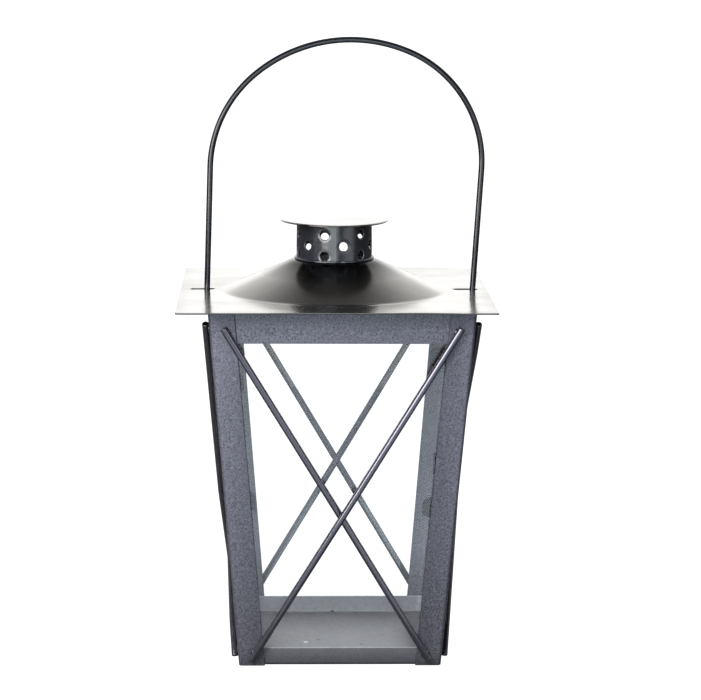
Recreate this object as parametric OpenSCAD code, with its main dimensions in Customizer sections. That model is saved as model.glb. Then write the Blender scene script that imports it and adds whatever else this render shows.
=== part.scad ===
// Candle lantern: a tapered body of sheet steel and glass, crossed by wire rods, with a
// loose pressed roof that slides up along the legs of its wire handle.
// The origin is the centre of the tray's underside, +Z is up and the front faces -Y.

/* [Body] */
// Outer width across the posts at the top of the body
body_top_w = 101; // [98:0.5:103]
// Outer width across the posts at the foot of the body
body_foot_w = 78; // [70:1:90]
// Height of the body, from the tray's underside to the top of the rails
body_h = 140.7; // [130:0.1:160]
// Thickness of the steel sheet
sheet_t = 0.8; // [0.6:0.1:1]
// Width of each flange of a corner post
flange_w = 10; // [8:0.5:12]
// Height of the top rails
top_rail_h = 13; // [10:0.5:16]
// Height of the tray's upturned walls
tray_wall_h = 7.2; // [5:0.2:10]

/* [Glass] */
// Thickness of the panes
glass_t = 2; // [1.6:0.1:2.2]
// Horizontal distance from the outside of a post to the edge of a pane
glass_edge = 4.5; // [4.4:0.1:6]
// Height of the top edge of the panes
glass_top_z = 131; // [128:0.5:132]
// Height of the middle of a pane's left clip, seen from outside, except on the back
left_clip_z = 112; // [90:1:120]
// Height of the middle of a pane's right clip, seen from outside, except on the back
right_clip_z = 63; // [20:1:80]
// Height of the middle of the back pane's left clip, seen from outside
back_left_clip_z = 106.5; // [90:0.5:120]
// Height of the middle of the back pane's right clip, seen from outside
back_right_clip_z = 47; // [20:1:80]
// Length of a clip along the edge of the pane
clip_h = 7.6; // [5:0.2:10]
// How far a left clip reaches over the pane from its bent web, except on the back
left_clip_reach = 7.4; // [4:0.1:10]
// How far a right clip reaches over the pane from its bent web, except on the back
right_clip_reach = 9.3; // [4:0.1:10]
// How far a clip of the back reaches over its pane from its bent web
back_clip_reach = 5.6; // [4:0.1:10]
// Thickness of a clip
clip_t = 0.6; // [0.4:0.1:0.6]

/* [Cross rods] */
// Radius of the rods
rod_r = 1.32; // [0.8:0.02:1.4]
// Distance of the rods' upper ends from the middle of their side, except on the back
rod_top_x = 44.6; // [42:0.2:46]
// Distance of the upper ends of the back's rods from the middle of the back
back_rod_top_x = 42.7; // [42:0.1:46]
// Height of the rods' upper ends on the front and the back
rod_top_z = 134.2; // [125:0.2:136]
// Height of the rods' upper ends on the right and the left
side_rod_top_z = 135; // [125:0.2:136]
// Distance of the rods' lower ends from the middle of their side, except on the back
rod_foot_x = 34.3; // [31:0.1:36]
// Distance of the lower ends of the back's rods from the middle of the back
back_rod_foot_x = 36.7; // [31:0.1:37]
// Height of the rods' lower ends
rod_foot_z = 2.8; // [2:0.2:10]

/* [Roof] */
// Side of the square roof plate
roof_w = 120; // [114:1:130]
// Thickness of the roof's sheet
roof_t = 0.6; // [0.5:0.1:1]
// How far the loose roof has settled towards -X
roof_shift = 2.2; // [1.8:0.1:2.6]
// Radius at which the dome leaves the flat plate
dome_r = 43.5; // [38:0.5:45]
// Rise of the dome above the plate
dome_rise = 12.2; // [8:0.2:16]
// Radius of the flat neck on which the collar stands
neck_r = 15.7; // [15.6:0.1:18]
// Radius of the smoke hole under the collar
smoke_hole_r = 13.6; // [10:0.2:13.8]
// Radius of the rounding between the plate and the dome
dome_fillet = 5; // [2:0.5:8]
// Distance from the roof's centre to the middle of each handle slot
slot_x = 51.5; // [51.4:0.1:51.6]
// Length of each handle slot
slot_l = 9.6; // [9.4:0.1:10]
// Half the width of each handle slot
slot_r = 1.7; // [1.5:0.1:2]

/* [Chimney] */
// Outer radius of the collar
collar_r = 14.7; // [14.2:0.1:15]
// Wall of the collar
collar_wall = 0.5; // [0.4:0.1:0.7]
// Height of the collar
collar_h = 15; // [14:0.5:20]
// Height of the flange around the collar's foot
collar_foot_h = 0.9; // [0.5:0.1:1]
// How far the flange stands out from the collar
collar_foot_out = 0.8; // [0.5:0.1:0.9]
// Radius of the vent holes
vent_r = 1.85; // [1.4:0.05:2]
// Number of vent holes in each row
vents_per_row = 6; // [4:1:7]
// Radius of the cap
cap_r = 20.9; // [18:0.1:24]
// Thickness of the cap
cap_t = 0.7; // [0.5:0.1:1]

/* [Handle] */
// Radius of the handle's wire
wire_r = 1.15; // [0.8:0.05:1.2]
// Radius of the flatter top of the arch, to the middle of the wire
arch_r = 58; // [57:0.1:59]
// Position of the centre of the arch's top towards +X
arch_x = 4; // [3.6:0.1:4.4]
// Height of the centre of the arch's top
arch_z = 180.5; // [176:0.5:190]
// Radius of the arch's right shoulder, to the middle of the wire
right_shoulder_r = 46.5; // [46:0.1:47]
// Radius of the arch's left shoulder, to the middle of the wire
left_shoulder_r = 48.4; // [48:0.1:49]
// Angle from +X at which the right shoulder runs into the top
right_shoulder_turn = 66.6; // [64:0.2:70]
// Angle from +X at which the left shoulder runs into the top
left_shoulder_turn = 129.6; // [126:0.2:132]
// Lean of the left leg from the vertical, in degrees, outwards going down
left_lean = 1.6; // [1.4:0.1:1.8]
// Lean of the right leg from the vertical, in degrees, inwards going down
right_lean = 3.5; // [3.3:0.1:3.7]
// Height of the holes in which the handle turns
pivot_z = 135.2; // [134:0.2:136]
// Radius of the bends at the feet of the legs, to the middle of the wire
hook_bend_r = 2.4; // [2.2:0.1:2.6]
// Distance from the middle plane to the tip of each hook
hook_tip_x = 44.8; // [43:0.1:46]
// Clearance around the wire in its holes
pivot_gap = 0.1; // [0.05:0.01:0.1]

/* [Hidden] */
$fn = 96;

paint = [0.36, 0.36, 0.39];
rod_paint = [0.26, 0.26, 0.29];
roof_steel = [0.78, 0.77, 0.74];
dark_steel = [0.16, 0.17, 0.21];
pane = [0.72, 0.82, 0.86, 0.35];

// A turn of each of these about +Z takes the front side to that side
FRONT = 0;
RIGHT = 90;
BACK = 180;
LEFT = 270;

// Larger than anything here, for blocks that only cut
huge = 400;
// How far a cutting shape runs past what it cuts
over = 1;
// Loose fit between the glass and the steel around it
glass_gap = 0.1;
// Facets of the wires, which are thin
wire_fn = 32;
// Part of its radius that the wire keeps where it is bent
bend_thinning = 0.98;
// Length by which a bend runs on into the straight wire beside it
bend_overlap = 0.2;
// Size of the ball at a slight bend of a rod, as a multiple of the rod's radius
bend_bulge = 1.03;
// Part of a rod's length that lies flat on the post at each end
rod_grip = 0.09;

foot_half = body_foot_w / 2;
lean_slope = (body_top_w - body_foot_w) / 2 / body_h;
lean = atan(lean_slope);
// Slant of the corners, seen square to a side
corner_lean = atan(lean_slope * cos(lean));

// Layers of a side, as depths square to its outer face
rail_depth = sheet_t;
glass_depth = 2 * sheet_t + glass_gap;
clip_depth = glass_depth + glass_t + glass_gap;

// Radius of the balls at the rods' bends, and how far outside the face of a side the
// middle of the inner rod lies where the rods cross
bend_r = bend_bulge * rod_r;
rod_gap = 0.05;
crossing_out = bend_r + rod_gap - glass_depth;

roof_z = body_h;
plate_top_z = roof_z + roof_t;
neck_z = plate_top_z + dome_rise;
cap_z = neck_z + collar_h;

// Rows of vents as heights above the collar's foot, and the turn of each row
vent_rows = [[2.6, -16], [6.4, 14], [10.9, -16]];

// Everything deeper than `depth` behind the outer face of the front
module deeper_than(depth) {
    translate([0, -foot_half, 0])
        rotate([lean, 0, 0])
            translate([-huge, depth, -huge])
                cube(2 * huge);
}

// The tapered block `depth` inside the outer faces, between two heights
module tapered_block(depth, low_z, high_z) {
    intersection() {
        translate([-huge / 2, -huge / 2, low_z]) cube([huge, huge, high_z - low_z]);
        deeper_than(depth);
        rotate([0, 0, RIGHT]) deeper_than(depth);
        rotate([0, 0, BACK]) deeper_than(depth);
        rotate([0, 0, LEFT]) deeper_than(depth);
    }
}

// The quarter of space that faces the front, up to the diagonals
module front_quarter() {
    translate([0, 0, -huge / 2])
        linear_extrude(huge) polygon([[0, 0], [-huge, -huge], [huge, -huge]]);
}

// A point `out` outside the face of the front, `x` across and about `z` up
function on_front(x, z, out) = [
    x,
    -foot_half - z * lean_slope - out * cos(lean),
    z - out * sin(lean)
];

// A round wire from one point to another
module wire(start, end, radius) {
    span = end - start;
    translate(start)
        rotate([0, acos(span[2] / norm(span)), atan2(span[1], span[0])])
            cylinder(h = norm(span), r = radius, $fn = wire_fn);
}

// An arc of wire in the XZ plane, from one angle to another, counted from +X towards +Z
module wire_arc(centre, bend_r, from_angle, to_angle, radius) {
    translate([centre[0], 0, centre[1]])
        rotate([90, 0, 0])
            rotate([0, 0, from_angle])
                rotate_extrude(angle = to_angle - from_angle, $fn = 180)
                    translate([bend_r, 0]) circle(radius, $fn = wire_fn);
}

// A bend of the handle: a little thinner than the wire, it runs on a little into the
// straighter wire on both sides of it
module wire_bend(centre, bend_r, from_angle, to_angle) {
    extra = bend_overlap / bend_r * 180 / PI;
    wire_arc(centre, bend_r, from_angle - extra, to_angle + extra, wire_r * bend_thinning);
}

module base_tray() {
    color(paint)
        difference() {
            tapered_block(rail_depth, 0, tray_wall_h);
            tapered_block(rail_depth + sheet_t, sheet_t, tray_wall_h + over);
        }
}

// The post at the corner of the front and the right side
module corner_post() {
    flange_depth = flange_w * cos(lean);
    color(paint)
        difference() {
            tapered_block(0, 0, body_h);
            tapered_block(sheet_t, -over, body_h + over);
            deeper_than(flange_depth);
            rotate([0, 0, RIGHT]) deeper_than(flange_depth);
        }
}

module top_rail() {
    color(paint)
        intersection() {
            difference() {
                tapered_block(rail_depth, body_h - top_rail_h, body_h);
                tapered_block(rail_depth + sheet_t, 0, body_h + over);
            }
            front_quarter();
        }
}

// A rail on the left or the right, with the hole in which the handle turns
module pivot_rail() {
    color(paint)
        difference() {
            top_rail();
            translate([0, 0, pivot_z])
                rotate([90, 0, 0])
                    cylinder(h = huge, r = wire_r + pivot_gap, $fn = wire_fn);
        }
}

module glass_pane() {
    edge_depth = glass_edge * cos(lean);
    low_z = sheet_t + glass_gap;
    color(pane)
        difference() {
            intersection() {
                translate([-huge / 2, -huge / 2, low_z])
                    cube([huge, huge / 2, glass_top_z - low_z]);
                deeper_than(glass_depth);
                rotate([0, 0, RIGHT]) deeper_than(edge_depth);
                rotate([0, 0, LEFT]) deeper_than(edge_depth);
            }
            deeper_than(glass_depth + glass_t);
        }
}

// A tab on the left post of the front: a foot on the flange, a web past the edge of the
// pane and a finger bent over the pane's inner face
module left_clip(z, reach) {
    foot_x = 1.4;
    web_x = glass_edge - glass_gap - clip_t;
    back = clip_depth + clip_t;
    translate([-foot_half - z * lean_slope, -foot_half - z * lean_slope, z])
        rotate([lean, 0, 0])
            rotate([0, -corner_lean, 0])
                translate([0, 0, -clip_h / 2])
                    linear_extrude(clip_h)
                        polygon([
                            [foot_x, sheet_t],
                            [web_x + clip_t, sheet_t],
                            [web_x + clip_t, clip_depth],
                            [web_x + reach, clip_depth],
                            [web_x + reach, back],
                            [web_x, back],
                            [web_x, sheet_t + clip_t],
                            [foot_x, sheet_t + clip_t]
                        ]);
}

// The two clips of a pane
module glass_clips(left_z, right_z, left_reach, right_reach) {
    color(rod_paint) {
        left_clip(left_z, left_reach);
        mirror([1, 0, 0]) left_clip(right_z, right_reach);
    }
}

// A rod of the front through the given points, with a ball at each bend
module bent_rod(points) {
    last = len(points) - 1;
    color(rod_paint) {
        for (i = [1:last]) wire(points[i - 1], points[i], rod_r);
        for (i = [1:last - 1]) translate(points[i]) sphere(bend_r, $fn = wire_fn);
    }
}

// Height at which the two rods of a side cross
function crossing_z(top_x, top_z, foot_x) =
    rod_foot_z + (top_z - rod_foot_z) * foot_x / (top_x + foot_x);

// The rod that runs from upper left to lower right, seen from outside. It lies on a post
// at each end and is pressed in between them, until it nearly touches the glass.
module inner_rod(top_x, top_z, foot_x) {
    leave_x = rod_grip * (top_x + foot_x);
    leave_z = rod_grip * (top_z - rod_foot_z);
    bent_rod([
        on_front(-top_x, top_z, rod_r),
        on_front(leave_x - top_x, top_z - leave_z, bend_r),
        on_front(0, crossing_z(top_x, top_z, foot_x), crossing_out),
        on_front(foot_x - leave_x, rod_foot_z + leave_z, bend_r),
        on_front(foot_x, rod_foot_z, rod_r)
    ]);
}

// The rod that bows over the inner rod, from upper right to lower left
module outer_rod(top_x, top_z, foot_x) {
    bent_rod([
        on_front(top_x, top_z, rod_r),
        on_front(0, crossing_z(top_x, top_z, foot_x), crossing_out + 2 * bend_r + rod_gap),
        on_front(-foot_x, rod_foot_z, rod_r)
    ]);
}

// The dome's outline as a solid of revolution, standing on a base that reaches down to
// low_z, with the plate's upper face at top_z
module dome_solid(low_z, top_z) {
    slope = atan2(dome_rise, dome_r - neck_r);
    reach = dome_fillet * tan(slope / 2);
    steps = 6;
    rotate_extrude()
        polygon(concat(
            [[0, low_z], [dome_r + reach, low_z]],
            [for (i = [0:steps])
                let (turn = slope * i / steps)
                [dome_r + reach - dome_fillet * sin(turn), top_z + dome_fillet * (1 - cos(turn))]],
            [[neck_r, top_z + dome_rise], [0, top_z + dome_rise]]
        ));
}

// The slot for one leg of the handle
module handle_slot() {
    straight = slot_l / 2 - slot_r;
    translate([0, 0, -over]) {
        translate([-straight, -slot_r, 0]) cube([2 * straight, 2 * slot_r, roof_t + 2 * over]);
        translate([-straight, 0, 0]) cylinder(h = roof_t + 2 * over, r = slot_r, $fn = wire_fn);
        translate([straight, 0, 0]) cylinder(h = roof_t + 2 * over, r = slot_r, $fn = wire_fn);
    }
}

module roof_plate() {
    color(roof_steel)
        translate([-roof_shift, 0, roof_z])
            difference() {
                union() {
                    translate([-roof_w / 2, -roof_w / 2, 0]) cube([roof_w, roof_w, roof_t]);
                    dome_solid(0, roof_t);
                }
                dome_solid(-over, 0);
                cylinder(h = 2 * dome_rise, r = smoke_hole_r);
                translate([slot_x, 0, 0]) handle_slot();
                translate([-slot_x, 0, 0]) handle_slot();
            }
}

module chimney_collar() {
    color(dark_steel)
        translate([-roof_shift, 0, neck_z])
            difference() {
                union() {
                    cylinder(h = collar_h, r = collar_r);
                    cylinder(h = collar_foot_h, r = collar_r + collar_foot_out);
                }
                translate([0, 0, -over])
                    cylinder(h = collar_h + 2 * over, r = collar_r - collar_wall);
                for (row = vent_rows, i = [0:vents_per_row - 1])
                    rotate([0, 0, row[1] + i * 360 / vents_per_row])
                        translate([0, over - collar_r, row[0]])
                            rotate([90, 0, 0])
                                cylinder(h = 2 * over, r = vent_r, $fn = wire_fn);
            }
}

module chimney_cap() {
    color(roof_steel)
        translate([-roof_shift, 0, cap_z])
            cylinder(h = cap_t, r = cap_r);
}

// Centre of a shoulder that runs into the top of the arch at an angle
function shoulder_centre(turn, shoulder_r) = [
    arch_x + (arch_r - shoulder_r) * cos(turn),
    arch_z + (arch_r - shoulder_r) * sin(turn)
];

module handle() {
    right_centre = shoulder_centre(right_shoulder_turn, right_shoulder_r);
    left_centre = shoulder_centre(left_shoulder_turn, left_shoulder_r);
    right_top_x = right_centre[0] + right_shoulder_r * cos(right_lean);
    right_top_z = right_centre[1] - right_shoulder_r * sin(right_lean);
    left_top_x = left_centre[0] - left_shoulder_r * cos(left_lean);
    left_top_z = left_centre[1] + left_shoulder_r * sin(left_lean);
    bend_z = pivot_z + hook_bend_r;
    right_foot_z = bend_z - hook_bend_r * sin(right_lean);
    left_foot_z = bend_z + hook_bend_r * sin(left_lean);
    right_foot_x = right_top_x - (right_top_z - right_foot_z) * tan(right_lean);
    left_foot_x = left_top_x - (left_top_z - left_foot_z) * tan(left_lean);
    right_bend_x = right_foot_x - hook_bend_r * cos(right_lean);
    left_bend_x = left_foot_x + hook_bend_r * cos(left_lean);
    color(dark_steel) {
        wire_arc([arch_x, arch_z], arch_r, right_shoulder_turn, left_shoulder_turn, wire_r);
        wire_bend(right_centre, right_shoulder_r, -right_lean, right_shoulder_turn);
        wire_bend(left_centre, left_shoulder_r, left_shoulder_turn, 180 - left_lean);
        wire([right_foot_x, 0, right_foot_z], [right_top_x, 0, right_top_z], wire_r);
        wire([left_foot_x, 0, left_foot_z], [left_top_x, 0, left_top_z], wire_r);
        wire_bend([right_bend_x, bend_z], hook_bend_r, -90, -right_lean);
        wire_bend([left_bend_x, bend_z], hook_bend_r, 180 - left_lean, 270);
        wire([hook_tip_x, 0, pivot_z], [right_bend_x, 0, pivot_z], wire_r);
        wire([-hook_tip_x, 0, pivot_z], [left_bend_x, 0, pivot_z], wire_r);
    }
}

base_tray();
rotate([0, 0, FRONT]) corner_post();  // post_front_right
rotate([0, 0, RIGHT]) corner_post();  // post_back_right
rotate([0, 0, BACK]) corner_post();  // post_back_left
rotate([0, 0, LEFT]) corner_post();  // post_front_left
rotate([0, 0, FRONT]) top_rail();  // top_rail_front
rotate([0, 0, RIGHT]) pivot_rail();  // top_rail_right
rotate([0, 0, BACK]) top_rail();  // top_rail_back
rotate([0, 0, LEFT]) pivot_rail();  // top_rail_left
rotate([0, 0, FRONT]) glass_pane();  // glass_front
rotate([0, 0, RIGHT]) glass_pane();  // glass_right
rotate([0, 0, BACK]) glass_pane();  // glass_back
rotate([0, 0, LEFT]) glass_pane();  // glass_left
rotate([0, 0, FRONT])  // clips_front
        glass_clips(left_clip_z, right_clip_z, left_clip_reach, right_clip_reach);
rotate([0, 0, RIGHT])  // clips_right
        glass_clips(left_clip_z, right_clip_z, left_clip_reach, right_clip_reach);
rotate([0, 0, BACK])  // clips_back
        glass_clips(back_left_clip_z, back_right_clip_z, back_clip_reach, back_clip_reach);
rotate([0, 0, LEFT])  // clips_left
        glass_clips(left_clip_z, right_clip_z, left_clip_reach, right_clip_reach);
rotate([0, 0, FRONT]) inner_rod(rod_top_x, rod_top_z, rod_foot_x);  // inner_rod_front
rotate([0, 0, RIGHT]) inner_rod(rod_top_x, side_rod_top_z, rod_foot_x);  // inner_rod_right
rotate([0, 0, BACK]) inner_rod(back_rod_top_x, rod_top_z, back_rod_foot_x);  // inner_rod_back
rotate([0, 0, LEFT]) inner_rod(rod_top_x, side_rod_top_z, rod_foot_x);  // inner_rod_left
rotate([0, 0, FRONT]) outer_rod(rod_top_x, rod_top_z, rod_foot_x);  // outer_rod_front
rotate([0, 0, RIGHT]) outer_rod(rod_top_x, side_rod_top_z, rod_foot_x);  // outer_rod_right
rotate([0, 0, BACK]) outer_rod(back_rod_top_x, rod_top_z, back_rod_foot_x);  // outer_rod_back
rotate([0, 0, LEFT]) outer_rod(rod_top_x, side_rod_top_z, rod_foot_x);  // outer_rod_left
roof_plate();
chimney_collar();
chimney_cap();
handle();
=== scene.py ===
"""Looks of the candle lantern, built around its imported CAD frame.

Lengths are in millimetres until a mesh is made, and in metres from there on.
"""

import math

import bmesh
import bpy
from mathutils import Matrix, Vector, geometry, noise

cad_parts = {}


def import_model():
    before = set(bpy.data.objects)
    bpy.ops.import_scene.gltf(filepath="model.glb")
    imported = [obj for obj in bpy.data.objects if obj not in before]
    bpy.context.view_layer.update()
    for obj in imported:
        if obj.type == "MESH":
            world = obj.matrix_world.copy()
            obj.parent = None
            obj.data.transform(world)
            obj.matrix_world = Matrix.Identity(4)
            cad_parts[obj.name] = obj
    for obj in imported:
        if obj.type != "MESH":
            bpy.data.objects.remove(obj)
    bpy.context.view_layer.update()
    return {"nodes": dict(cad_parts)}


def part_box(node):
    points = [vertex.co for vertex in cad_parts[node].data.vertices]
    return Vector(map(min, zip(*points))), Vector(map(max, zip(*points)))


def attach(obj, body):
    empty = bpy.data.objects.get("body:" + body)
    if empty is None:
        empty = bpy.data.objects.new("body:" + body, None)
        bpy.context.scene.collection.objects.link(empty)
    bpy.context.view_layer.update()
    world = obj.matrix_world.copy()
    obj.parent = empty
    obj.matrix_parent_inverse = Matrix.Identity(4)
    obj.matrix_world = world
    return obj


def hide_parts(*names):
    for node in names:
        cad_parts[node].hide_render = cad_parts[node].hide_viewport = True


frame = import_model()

MM = 0.001
# The side of the body, and how far it is turned from the front about +Z
TURNS = {"front": 0, "right": 90, "back": 180, "left": 270}


def corners(node):
    """The lowest and highest corner of a CAD node, in millimetres."""
    low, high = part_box(node)
    return low / MM, high / MM


# ---------------------------------------------------------------- sizes from the frame

# Thicknesses and a width that no box of the frame gives
SHEET = 0.8
FLANGE = 10.0
PANE = 2.0
PANE_GAP = 0.1
ROOF_T = 0.6

post_low, post_high = corners("post_front_right")
FOOT_HALF = post_low.x + FLANGE
BODY_H = post_high.z
SLOPE = (post_high.x - FOOT_HALF) / BODY_H
LEAN = math.atan(SLOPE)
RAIL_LOW = corners("top_rail_front")[0].z
TRAY_H = corners("base_tray")[1].z

roof_low, roof_high = corners("roof_plate")
ROOF_X = (roof_low.x + roof_high.x) / 2
ROOF_HALF = (roof_high.x - roof_low.x) / 2
ROOF_Z = roof_low.z
NECK_Z = roof_high.z
DOME_RISE = NECK_Z - ROOF_Z - ROOF_T
cap_low, cap_high = corners("chimney_cap")
CAP_R = (cap_high.x - cap_low.x) / 2

WIRE_R = 1.15
PIVOT_Z = corners("handle")[0].z + WIRE_R


# ---------------------------------------------------------------- mesh helpers

def turned(point, degrees):
    """A point turned about +Z."""
    a = math.radians(degrees)
    x, y, z = point
    return Vector((x * math.cos(a) - y * math.sin(a), x * math.sin(a) + y * math.cos(a), z))


def on_front(x, z, out):
    """A point `out` outside the face of the front, `x` across and about `z` up."""
    return Vector((
        x,
        -FOOT_HALF - z * SLOPE - out * math.cos(LEAN),
        z - out * math.sin(LEAN),
    ))


def uneven(x, y, waves):
    """The height of a gently wavy sheet at a flat point. waves holds the (height, width,
    seed) of each size of wave."""
    return sum(height * noise.noise(Vector((x / width, y / width, seed)))
               for height, width, seed in waves)


def about_chimney(radius, angle, z):
    """A point around the chimney's axis."""
    return Vector((ROOF_X + radius * math.cos(angle), radius * math.sin(angle), z))


def body_half(z):
    """Half the body's width at a height."""
    return FOOT_HALF + z * SLOPE


def broken_edge(size):
    """Pairs of (depth, pull-in) that take the sharpness off an edge, from its end inwards."""
    return [(0, size), (0.3 * size, 0.3 * size), (size, 0)]


class Shell:
    """Vertices and faces that make up one piece, with a value for each vertex that marks
    painted shade and light on some pieces and wear on others.
    """

    def __init__(self):
        self.verts = []
        self.faces = []
        self.shading_and_wear = []

    def add(self, verts, faces, shading_and_wear):
        """Adds faces over their own vertices, with one shading-and-wear value or one for each
        vertex.
        """
        start = len(self.verts)
        self.verts += [Vector(v) for v in verts]
        self.faces += [[start + i for i in f] for f in faces]
        self.shading_and_wear += list(shading_and_wear) if hasattr(shading_and_wear, "__len__") else [shading_and_wear] * len(verts)

    def loft(self, rings, shading_and_wear=0.0, looped=False):
        """Joins rings of equal length, and closes both ends or runs back to the first ring.
        The shading-and-wear value is one number, or one for each ring or each vertex."""
        n = len(rings[0])
        verts = [v for ring in rings for v in ring]
        faces = []
        spans = len(rings) if looped else len(rings) - 1
        for i in range(spans):
            a, b = i * n, (i + 1) % len(rings) * n
            for j in range(n):
                k = (j + 1) % n
                faces.append([a + j, a + k, b + k, b + j])
        if not looped:
            faces.append(list(range(n))[::-1])
            faces.append([(len(rings) - 1) * n + j for j in range(n)])
        if hasattr(shading_and_wear, "__len__") and len(shading_and_wear) == len(rings):
            shading_and_wear = [w for w in shading_and_wear for _ in range(n)]
        self.add(verts, faces, shading_and_wear)


def make(name, shell, material, body, replaced=()):
    """A Blender object from a shell, riding on a body and standing for CAD nodes."""
    mesh = bpy.data.meshes.new(name)
    mesh.from_pydata([v * MM for v in shell.verts], [], shell.faces)
    work = bmesh.new()
    work.from_mesh(mesh)
    bmesh.ops.recalc_face_normals(work, faces=work.faces)
    work.to_mesh(mesh)
    work.free()
    for polygon in mesh.polygons:
        polygon.use_smooth = True
    shading_and_wear = mesh.attributes.new("shading_and_wear", "FLOAT", "POINT")
    shading_and_wear.data.foreach_set("value", shell.shading_and_wear)
    obj = bpy.data.objects.new(name, mesh)
    bpy.context.scene.collection.objects.link(obj)
    mesh.materials.append(material)
    normals = obj.modifiers.new("face weighted normals", "WEIGHTED_NORMAL")
    normals.keep_sharp = True
    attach(obj, body)
    if replaced:
        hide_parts(*replaced)


def rounded(points, radii, steps=4):
    """A closed outline whose corners are rounded by arcs of the given radii."""
    out = []
    n = len(points)
    for i, (point, radius) in enumerate(zip(points, radii)):
        here = Vector(point)
        before = (Vector(points[i - 1]) - here).normalized()
        after = (Vector(points[(i + 1) % n]) - here).normalized()
        half = before.angle(after) / 2
        reach = radius / math.tan(half)
        centre = here + (before + after).normalized() * radius / math.sin(half)
        start = here + before * reach - centre
        end = here + after * reach - centre
        total = start.angle_signed(end)
        for k in range(steps + 1):
            a = -total * k / steps
            out.append(centre + Vector((
                start.x * math.cos(a) - start.y * math.sin(a),
                start.x * math.sin(a) + start.y * math.cos(a),
            )))
    return out


def circle(x, y, r, n):
    """A closed outline of n points around (x, y)."""
    return [(x + r * math.cos(2 * math.pi * k / n), y + r * math.sin(2 * math.pi * k / n))
            for k in range(n)]


def tube(shell, points, radius, sides, rim):
    """A round wire along a line of points, with broken edges at its cut ends."""
    last = len(points) - 1
    tangents = [(points[min(i + 1, last)] - points[max(i - 1, 0)]).normalized()
                for i in range(last + 1)]
    side = tangents[0].orthogonal().normalized()
    rings = []
    for i, (point, tangent) in enumerate(zip(points, tangents)):
        side = (side - tangent * side.dot(tangent)).normalized()
        other = tangent.cross(side)
        if i == 0:
            stations = broken_edge(rim)
        elif i == last:
            stations = [(-depth, less) for depth, less in reversed(broken_edge(rim))]
        else:
            stations = [(0, 0)]
        for depth, less in stations:
            rings.append([
                point + tangent * depth
                + (side * math.cos(t) + other * math.sin(t)) * (radius - less)
                for t in (2 * math.pi * k / sides for k in range(sides))
            ])
    shell.loft(rings)


def bead(shell, centre, across, up, out, size):
    """A small lumpy blob of weld: a flattened ball with an uneven surface."""
    rows, sides, unevenness = 8, 14, 0.22
    rings = []
    for i in range(1, rows):
        a = math.pi * i / rows
        ring = []
        for k in range(sides):
            b = 2 * math.pi * k / sides
            way = Vector((math.sin(a) * math.cos(b), math.cos(a), math.sin(a) * math.sin(b)))
            lump = 1 + unevenness * noise.noise(way * 1.7 + centre * 0.37)
            ring.append(
                centre
                + (across * way.x * size[0] + up * way.y * size[1] + out * way.z * size[2])
                * lump
            )
        rings.append(ring)
    shell.loft(rings)


def inside(point, outline):
    """True if a flat point lies inside a closed outline."""
    x, y = point
    hit = False
    for i in range(len(outline)):
        (x0, y0), (x1, y1) = outline[i - 1], outline[i]
        if (y0 > y) != (y1 > y) and x < (x1 - x0) * (y - y0) / (y1 - y0) + x0:
            hit = not hit
    return hit


def pulled_in(outline, distance, hole):
    """The outline moved into the sheet's material by a distance."""
    n = len(outline)
    area = sum(
        outline[i - 1][0] * outline[i][1] - outline[i][0] * outline[i - 1][1]
        for i in range(n)
    )
    sign = (1 if area > 0 else -1) * (-1 if hole else 1)
    most_stretch = 2.5
    out = []
    for i in range(n):
        a, b, c = (Vector(outline[j][:2]) for j in (i - 1, i, (i + 1) % n))
        first, second = (b - a).normalized(), (c - b).normalized()
        normal = Vector((-(first + second).y, (first + second).x)).normalized() * sign
        cosine = math.sqrt(max(0.0, (1 + first.dot(second)) / 2))
        out.append(b + normal * distance / max(1 / most_stretch, cosine))
    return out


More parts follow.
